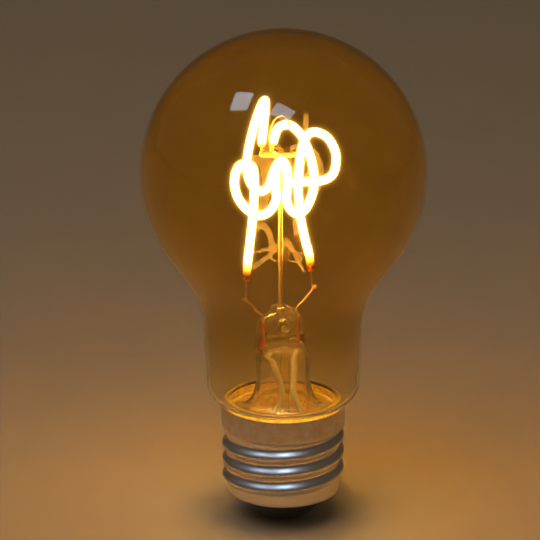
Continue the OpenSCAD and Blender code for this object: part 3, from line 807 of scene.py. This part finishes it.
def wire_piece(name, routes, radius, material, replaces, steps=6, around=14, beads=()):
    """One piece of round wires that follow the routes, in mm, with beads of weld metal."""
    bm = bmesh.new()
    for route in routes:
        path, girth = rounded(smooth_route(route, steps), radius, 0.3)
        swept(bm, path, radius, around, girth=girth)
    for centre, size in beads:
        bmesh.ops.create_uvsphere(
            bm, u_segments=16, v_segments=10, radius=size * MM, matrix=Matrix.Translation(centre * MM))
    finish_mesh(bm, name, material, replaces)


def press_point(side):
    """Where a lead meets the press: side is -1 for the left and 1 for the right."""
    reach = side * LEAD_REACH
    return Vector((PRESS_X + reach * math.cos(PRESS_TURN), reach * math.sin(PRESS_TURN), 0))


def lead_route(side, weld):
    """From the red wire's top out of the press and up to the weld under a filament's foot."""
    root = press_point(side)
    foot = HUB + Vector(weld)
    out = Vector((foot.x - root.x, foot.y - root.y, 0)).normalized()
    up = Vector((0, 0, 1))
    return [
        root + up * (SEAL_TOP + WELD_GAP),
        root + up * (PRESS_TOP - 1.2),
        root + 0.4 * out + up * (PRESS_TOP - 0.3),
        root + 1.8 * out + up * (PRESS_TOP + 0.8),
        foot,
        foot + 0.9 * out + 0.4 * up]


def pin_route(end, weld, wire_r):
    """From inside a filament's end to just inside the wire that the pin is welded to."""
    end, weld = Vector(end), Vector(weld)
    out = (weld - end).normalized()
    return [HUB + end - 0.6 * out, HUB + weld - (wire_r - 0.1) * out]


def outer_route(side):
    """From the press down through the stem to the board; the third point is the sleeve's top."""
    top = press_point(side)
    if side < 0:
        near, bend, foot = (0.08, 0.05), (0.7, 0.4), Vector((-3.4, -3.2, 0))
        middle = [(-2.6, -2.3, 36.4), (-1.4, -2.8, 33.8), (-0.5, -2.9, 31), (-0.2, -3, 29),
                  (-0.6, -3.2, 27), (-1.5, -3.5, 24.6)]
    else:
        near, bend, foot = (0, -0.08), (0.1, -0.7), Vector((4.6, -2.2, 0))
        middle = [(2.5, 0.3, 36), (2.3, -0.9, 33.3), (2.1, -1.9, 30.8), (2.1, -2.4, 29),
                  (2.6, -2.8, 27.2), (3.7, -2.9, 24.6)]
    start = [top + Vector((0, 0, SEAL_FOOT - 0.15)), top + Vector((*near, SEAL_FOOT - 0.55)),
             top + Vector((*bend, SEAL_FOOT - 1.1))]
    return start + [Vector(p) for p in middle] + [foot + Vector((0, 0, z)) for z in (19.4, 17, 14.7)]


class LAMP_OT_wires(bpy.types.Operator):
    """Sweep the rod, bar, arm, hook, pins and lead wires"""
    bl_idname = "lamp.wires"
    bl_label = "Wires"

    def execute(self, context):
        gilt = metal("gilt_wire", (0.80, 0.55, 0.24), 0.36)
        dull = metal("rod_metal", (0.58, 0.42, 0.20), 0.4, 0.9)
        red = metal("seal_copper", (0.88, 0.22, 0.05), 0.5)
        copper = metal("lead_copper", (0.26, 0.14, 0.08), 0.35)
        self.rod_and_arms(dull, gilt)
        self.pins(gilt)
        self.leads(gilt, red, copper)
        return {"FINISHED"}

    def rod_and_arms(self, dull, gilt):
        """The rod, the bar across its top, the slanted arm and the hook over the front arch."""
        bar_z = BAR_R + WELD_GAP
        arm_y = -ROD_R - ARM_R - WELD_GAP
        arm_end = Vector(FRONT_ROUTE[-1]) + Vector((-0.3, 0.5, -1.65))
        over = settings().filament_d / 2 / MM + HOOK_R + 0.2
        foot = Vector((PRESS_X, 0, PRESS_TOP - 2.95))
        rod = [foot, HUB - Vector((0, 0, 12)), HUB]
        wire_piece("rod", [rod], ROD_R, dull, ["centre_rod"], 4, 24)
        bar = from_hub([(-4.3, 0, bar_z + 0.15), (0, 0, bar_z), (3.3, 0.7, bar_z)])
        wire_piece("rod_cross_arm", [bar], BAR_R, gilt, ["cross_arm"], 6, 20)
        arm = from_hub([
            (0.2, arm_y, -3), (0.2, arm_y, -1.4), (-0.1, arm_y - 0.25, -0.1),
            arm_end + Vector((0.9, 1.5, -0.95)), arm_end])
        wire_piece("rod_diagonal_arm", [arm], ARM_R, gilt, ["diagonal_arm"])
        hook = from_hub([
            (-2, 0, 2 * bar_z + 0.1), (-2.1, -0.7, 3.6), (-1.9, -1.8, 6.6), (-1.1, -3.4, 9.1),
            (0.4, -4.9, 9.2 + over), (1.4, -6, 8.75 + over), (1.8, -6 - over, 8.9), (1.9, -6 - over, 8)])
        wire_piece("arch_hook", [hook], HOOK_R, dull, ["support_hook"], 6, 10)

    def pins(self, gilt):
        """Pins at both ends of each filament, with their welds."""
        for word, route, foot_weld, top_weld, top_r in (
                ("front", FRONT_ROUTE, FRONT_FOOT_WELD, FRONT_TOP_WELD, ARM_R),
                ("back", BACK_ROUTE, BACK_FOOT_WELD, BACK_TOP_WELD, BAR_R)):
            pins = [pin_route(route[0], foot_weld, LEAD_R), pin_route(route[-1], top_weld, top_r)]
            beads = [(pins[0][1], FOOT_BEAD_R), (pins[1][1], TOP_BEAD_R)]
            node = word + "_end_pins"
            wire_piece(word + "_pins", pins, PIN_R, gilt, [node], beads=beads)

    def leads(self, gilt, red, copper):
        """On each side a lead above the press, a red wire in it and a bare wire below."""
        for side, word, weld in ((-1, "left", FRONT_FOOT_WELD), (1, "right", BACK_FOOT_WELD)):
            at = press_point(side)
            for name, route, radius, material, node, slot in (
                    ("lead_", lead_route(side, weld), LEAD_R, gilt, "inner_lead_", "gilt_wire"),
                    ("sealed_", [at + Vector((0, 0, z)) for z in (SEAL_FOOT, SEAL_TOP)],
                     SEAL_R, red, "seal_wire_", "seal_copper"),
                    ("outer_", outer_route(side), OUTER_R, copper, "outer_lead_", "lead_copper")):
                wire_piece(name + word, [route], radius, material, [node + word])


class LAMP_OT_sleeves(bpy.types.Operator):
    """Sweep the hollow white sleeves on the outer leads"""
    bl_idname = "lamp.sleeves"
    bl_label = "Lead Sleeves"

    def execute(self, context):
        white = sleeve_plastic()
        for side, word in ((-1, "left"), (1, "right")):
            route = outer_route(side)[2:-1]
            bm = bmesh.new()
            swept(bm, smooth_route(route, 6), SLEEVE_R, 16, cap=False)
            bmesh.ops.recalc_face_normals(bm, faces=bm.faces)
            bmesh.ops.solidify(bm, geom=bm.faces[:], thickness=SLEEVE_T * MM)
            finish_mesh(bm, "sleeve_" + word, white, ["lead_sleeve_" + word])
        return {"FINISHED"}


def shell_radius(z, angle):
    """Radius of the screw shell's outer face, in mm: a round thread that fades at both ends."""
    low, high = THREAD_LOW, CAP_H - BAND_H
    root = CREST_R - THREAD_DEPTH
    fade = ease((z - low) / THREAD_FADE) * ease((high - z) / THREAD_FADE)
    band = ease((z - high + BAND_BLEND) / BAND_BLEND)
    wave = THREAD_DEPTH / 2 * math.cos(math.tau * (z - low) / THREAD_PITCH - angle)
    threaded = root + (THREAD_DEPTH / 2 + wave) * fade
    return threaded * (1 - band) + BAND_R * band


# Outlines of the cap's turned pieces as (r, z) in mm
INSULATOR_LINE = [
    (1.5, 1.0), (5.1, 1.0), (5.6, 1.05), (6.1, 1.35), (9.7, 5.0), (10.2, 5.6), (10.25, 6.6),
    (11.3, 6.6), (11.3, 8.1), (9.7, 8.4), (3.2, 3.6), (1.5, 3.0)]
CONTACT_LINE = [(1.1, 0.55), (4.35, 0.55), (4.55, 0.58), (4.68, 0.7), (4.7, 0.97), (1.1, 0.97)]
SOLDER_LINE = [
    (0, 0), (1.5, 0), (1.9, 0.06), (2.25, 0.2), (2.5, 0.38), (2.6, 0.52), (1.05, 0.52),
    (1.05, 1.8), (0, 2.0)]
CEMENT_LINE = [
    (10.6, 24.17), (10.6, 22.5), (10.62, 21.0), (10.66, 19.5), (10.7, 18.3), (10.85, 17.8),
    (11.2, 17.5), (11.7, 17.4), (11.7, 21.2), (12.85, 22.0), (12.85, 25.95), (12.7, 26.05),
    (12.5, 26.2), (12.3, 26.2), (12.25, 26.0), (12.25, 24.17)]


class LAMP_OT_cap(bpy.types.Operator):
    """Roll the threaded shell and spin the insulator, contact, solder and cement"""
    bl_idname = "lamp.cap"
    bl_label = "Screw Cap"

    def execute(self, context):
        self.shell()
        black = plastic("black_glass", (0.018, 0.018, 0.022), 0.12, 300, 0.5)
        self.turned("insulator", INSULATOR_LINE, black, "cap_insulator", "black_glass")
        brass = metal("contact_brass", (0.72, 0.52, 0.26), 0.25)
        self.turned("contact_plate", CONTACT_LINE, brass, "centre_contact", "contact_brass")
        tin = metal("solder", (0.62, 0.62, 0.6), 0.3)
        self.turned("solder_tip", SOLDER_LINE, tin, "contact_solder", "solder", closed=False)
        baked = mottled("cement", (0.50, 0.29, 0.01), (0.95, 0.72, 0.05), 0.4, 900)
        self.turned("cement_ring", CEMENT_LINE, baked, "cap_cement", "cement")
        return {"FINISHED"}

    def turned(self, name, line, material, cad_node, slot, closed=True):
        """One piece spun from its outline."""
        bm = spun(line, TURNED_STEPS, closed)
        finish_mesh(bm, name, material, [cad_node])

    def shell(self):
        """One sheet: up the outside and back down the inside, a ring at a time."""
        low = LIP_Z + 0.9
        heights = [low + (CAP_H - low) * i / SHELL_ROWS for i in range(SHELL_ROWS + 1)]
        root = CREST_R - THREAD_DEPTH
        outer = [
            (LIP_R, LIP_Z), (root - 0.6, LIP_Z), (root - 0.3, LIP_Z + 0.12), (root - 0.12, LIP_Z + 0.4)]
        inner = [
            (root - 0.5, LIP_Z + 0.66), (root - 0.85, LIP_Z + SHEET_T + 0.03), (LIP_R, LIP_Z + SHEET_T)]
        inside = [(None, z, SHEET_T) for z in heights[::-1]] + [(r, z, None) for r, z in inner]
        profile = [(r, z, None) for r, z in outer] + [(None, z, 0) for z in heights] + inside
        bm = bmesh.new()
        inner_face = bm.verts.layers.float.new("inner")
        ring = first = first_ring(bm, LIP_R, SHELL_STEPS)
        self.place(ring, profile[0])
        for row in profile[1:]:
            ring = next_ring(bm, ring)
            self.place(ring, row)
            for v in ring:
                v[inner_face] = float(row in inside)
        bmesh.ops.bridge_loops(bm, edges=ring_edges(bm, first) + ring_edges(bm, ring))
        finish_mesh(bm, "screw_shell", shell_metal(), ["cap_shell"])

    def place(self, ring, row):
        """Moves a ring to its height, and to its radius or that of the threaded face."""
        r, z, inward = row
        for k, v in enumerate(ring):
            angle = math.tau * k / len(ring)
            reach = r if r is not None else shell_radius(z, angle) - inward
            v.co = Vector((reach * math.cos(angle), reach * math.sin(angle), z)) * MM


def shell_metal():
    """Nickel plating outside, rubbed to brass on the thread's crests, and bare brass inside."""
    s = settings()
    material, tree = new_material("cap_metal")
    face, _ = shader(tree, Metallic=1.0)
    where = tree.nodes.new("ShaderNodeTexCoord")
    flat = tree.nodes.new("ShaderNodeVectorMath")
    flat.operation = "MULTIPLY"
    flat.inputs[1].default_value = (1, 1, 0)
    tree.links.new(where.outputs["Object"], flat.inputs[0])
    reach = tree.nodes.new("ShaderNodeVectorMath")
    reach.operation = "LENGTH"
    tree.links.new(flat.outputs[0], reach.inputs[0])
    crest = value_range(tree, reach.outputs["Value"], RUBBED_FROM, RUBBED_BARE)
    rubbed = noise(tree, 500, 6.0, 0.7)
    wear = maths(tree, "MULTIPLY", crest.outputs[0], rubbed.outputs[0])
    inner = attribute_range(tree, "inner", 0.0, 1.0)
    bare = maths(tree, "MAXIMUM", wear.outputs[0], inner.outputs[0])
    shades = ramp(tree, bare, [(0.35, s.nickel), (0.8, (0.62, 0.46, 0.24)), (1.0, s.brass)])
    tree.links.new(shades.outputs[0], face.inputs["Base Color"])
    lines = tree.nodes.new("ShaderNodeMapping")
    lines.inputs["Scale"].default_value = (1, 1, 40)
    tree.links.new(where.outputs["Object"], lines.inputs["Vector"])
    marks = tree.nodes.new("ShaderNodeTexNoise")
    marks.inputs["Scale"].default_value = 300
    tree.links.new(lines.outputs[0], marks.inputs["Vector"])
    gloss = value_range(tree, marks.outputs[0], 0.0, 1.0, 0.26, 0.42)
    dull = maths(tree, "MULTIPLY", inner.outputs[0], 0.5)
    worn = maths(tree, "MAXIMUM", gloss.outputs[0], dull.outputs[0])
    tree.links.new(worn.outputs[0], face.inputs["Roughness"])
    bump(tree, marks, face, 0.12, 0.00004)
    return material


class LAMP_OT_driver(bpy.types.Operator):
    """Give the driver's parts inside the cap their finishes"""
    bl_idname = "lamp.driver"
    bl_label = "Driver Finish"

    def execute(self, context):
        finishes = {
            "driver_board": mottled("board_resin", (0.30, 0.18, 0.005), (0.85, 0.62, 0.02), 0.35, 300),
            "bridge_rectifier": plastic("chip_resin", (0.02, 0.02, 0.022), 0.5),
            "smoothing_capacitor": plastic("capacitor_can", (0.66, 0.42, 0.03), 0.35),
            "fuse_resistor": plastic("fuse_coat", (0.16, 0.22, 0.15), 0.6),
            "fuse_leads": metal("tinned", (0.6, 0.6, 0.58), 0.3),
            "shell_wire": metal("bare_copper", (0.6, 0.3, 0.15), 0.35),
        }
        finishes["driver_chip"] = finishes["chip_resistors"] = finishes["bridge_rectifier"]
        finishes["board_solder"] = finishes["fuse_leads"]
        for name, material in finishes.items():
            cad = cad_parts[name]
            cad.data.materials.clear()
            cad.data.materials.append(material)
        return {"FINISHED"}


# The stage, in metres: how far the floor reaches and its wall rises, and the camera's distance,
# tilt, aim height and place aside
FLOOR_REACH = 3
CAMERA_AWAY = 0.6
CAMERA_TILT = math.radians(18)
CAMERA_AIM = 0.0555
CAMERA_ASIDE = -0.0028


def area_light(name, place, aim, size, power, colour, twist=0):
    """A rectangular lamp that faces a point, turned about its own axis by degrees."""
    light = bpy.data.lights.new(name, "AREA")
    light.shape = "RECTANGLE"
    light.size, light.size_y = size
    light.energy = power
    light.color = colour
    lamp = bpy.data.objects.new(name, light)
    bpy.context.scene.collection.objects.link(lamp)
    lamp.location = place
    facing = (Vector(aim) - Vector(place)).to_track_quat("-Z", "Y").to_matrix()
    lamp.rotation_euler = (facing @ Matrix.Rotation(math.radians(twist), 3, "Z")).to_euler()
    return lamp


class LAMP_OT_stage(bpy.types.Operator):
    """Set the plain floor, soft lights and the camera"""
    bl_idname = "lamp.stage"
    bl_label = "Stage"

    def execute(self, context):
        self.floor()
        self.lights()
        self.camera()
        self.bloom()
        return {"FINISHED"}

    def floor(self):
        """A plain floor that curves up into a wall."""
        material, tree = new_material("floor")
        face, _ = shader(tree, Roughness=0.6)
        grain = noise(tree, 20, 3.0)
        base = settings().floor_colour
        shades = ramp(tree, grain, [(0.3, [c * 0.97 for c in base]), (0.7, base)])
        tree.links.new(shades.outputs[0], face.inputs["Base Color"])
        bm = bmesh.new()
        bmesh.ops.create_grid(bm, x_segments=1, y_segments=1, size=FLOOR_REACH)
        far = [e for e in bm.edges if all(v.co.y > 0.9 * FLOOR_REACH for v in e.verts)]
        made = bmesh.ops.extrude_edge_only(bm, edges=far)["geom"]
        raised = [v for v in made if isinstance(v, bmesh.types.BMVert)]
        bmesh.ops.translate(bm, vec=(0, 0, FLOOR_REACH), verts=raised)
        bmesh.ops.bevel(bm, geom=far, offset=1.2, offset_type="OFFSET", segments=16, profile=0.5,
                        affect="EDGES", material=-1)
        for f in bm.faces:
            f.smooth = True
        mesh = bpy.data.meshes.new("floor")
        bm.to_mesh(mesh)
        bm.free()
        floor = bpy.data.objects.new("floor", mesh)
        floor.data.materials.append(material)
        bpy.context.scene.collection.objects.link(floor)

    def lights(self):
        """A dim warm room, a soft top light and two cold windows."""
        world = bpy.data.worlds.new("studio")
        bpy.context.scene.world = world
        world.use_nodes = True
        back = world.node_tree.nodes["Background"]
        back.inputs["Color"].default_value = (1.0, 0.78, 0.54, 1)
        back.inputs["Strength"].default_value = 0.068
        aim = (0, 0, 0.06)
        top = area_light("top", (-0.3, -0.5, 1.2), aim, (1.0, 1.0), 3, (1.0, 0.81, 0.60))
        top.visible_glossy = False
        cold = (0.50, 0.68, 1.0)
        for name, place, size, power, twist in (
                ("window_left", (-0.436, -0.129, 0.882), (0.214, 0.243), 2.25, 43),
                ("window_right", (-0.015, -0.408, 0.909), (0.245, 0.186), 1.9, -30)):
            window = area_light(name, place, aim, size, power, cold, twist)
            window.visible_diffuse = False

    def camera(self):
        """Looks down on the lamp from the front."""
        data = bpy.data.cameras.new("camera")
        data.sensor_width = 36
        data.lens = 190
        data.clip_start = 0.01
        camera = bpy.data.objects.new("camera", data)
        bpy.context.scene.collection.objects.link(camera)
        level, rise = CAMERA_AWAY * math.cos(CAMERA_TILT), CAMERA_AWAY * math.sin(CAMERA_TILT)
        camera.location = (CAMERA_ASIDE, -level, CAMERA_AIM + rise)
        camera.rotation_euler = (math.radians(90) - CAMERA_TILT, 0, 0)
        bpy.context.scene.camera = camera

    def bloom(self):
        """Plain view of colours, and the slight halo that a lens gives a bright filament."""
        scene = bpy.context.scene
        scene.cycles.max_bounces = GLASS_BOUNCES
        scene.cycles.transmission_bounces = GLASS_BOUNCES
        scene.view_settings.view_transform = "Standard"
        scene.use_nodes = True
        tree = scene.node_tree
        tree.nodes.clear()
        picture = tree.nodes.new("CompositorNodeRLayers")
        halo = tree.nodes.new("CompositorNodeGlare")
        halo.glare_type = "BLOOM"
        halo.inputs["Threshold"].default_value = 1.5
        halo.inputs["Maximum"].default_value = 8.0
        halo.inputs["Strength"].default_value = 0.16
        halo.inputs["Size"].default_value = 0.02
        result = tree.nodes.new("CompositorNodeComposite")
        tree.links.new(picture.outputs["Image"], halo.inputs["Image"])
        tree.links.new(halo.outputs["Image"], result.inputs["Image"])


STEPS = (LAMP_OT_stage, LAMP_OT_globe, LAMP_OT_stem, LAMP_OT_filaments, LAMP_OT_wires, LAMP_OT_sleeves,
         LAMP_OT_cap, LAMP_OT_driver)


class LAMP_PT_panel(bpy.types.Panel):
    """Lists the lamp's sizes and pieces"""
    bl_label = "Filament Lamp"
    bl_idname = "LAMP_PT_panel"
    bl_space_type = "VIEW_3D"
    bl_region_type = "UI"
    bl_category = "Lamp"

    def draw(self, context):
        s = context.scene.lamp_settings
        for name in LampSettings.__annotations__:
            self.layout.prop(s, name)
        for step in STEPS:
            self.layout.operator(step.bl_idname)


CLASSES = (LampSettings,) + STEPS + (LAMP_PT_panel,)


def register():
    for cls in CLASSES:
        bpy.utils.register_class(cls)
    bpy.types.Scene.lamp_settings = PointerProperty(type=LampSettings)


def unregister():
    del bpy.types.Scene.lamp_settings
    for cls in reversed(CLASSES):
        bpy.utils.unregister_class(cls)


def main():
    register()
    bpy.ops.lamp.stage()
    bpy.ops.lamp.globe()
    bpy.ops.lamp.stem()
    bpy.ops.lamp.filaments()
    bpy.ops.lamp.wires()
    bpy.ops.lamp.sleeves()
    bpy.ops.lamp.cap()
    bpy.ops.lamp.driver()


if __name__ == "__main__":
    main()
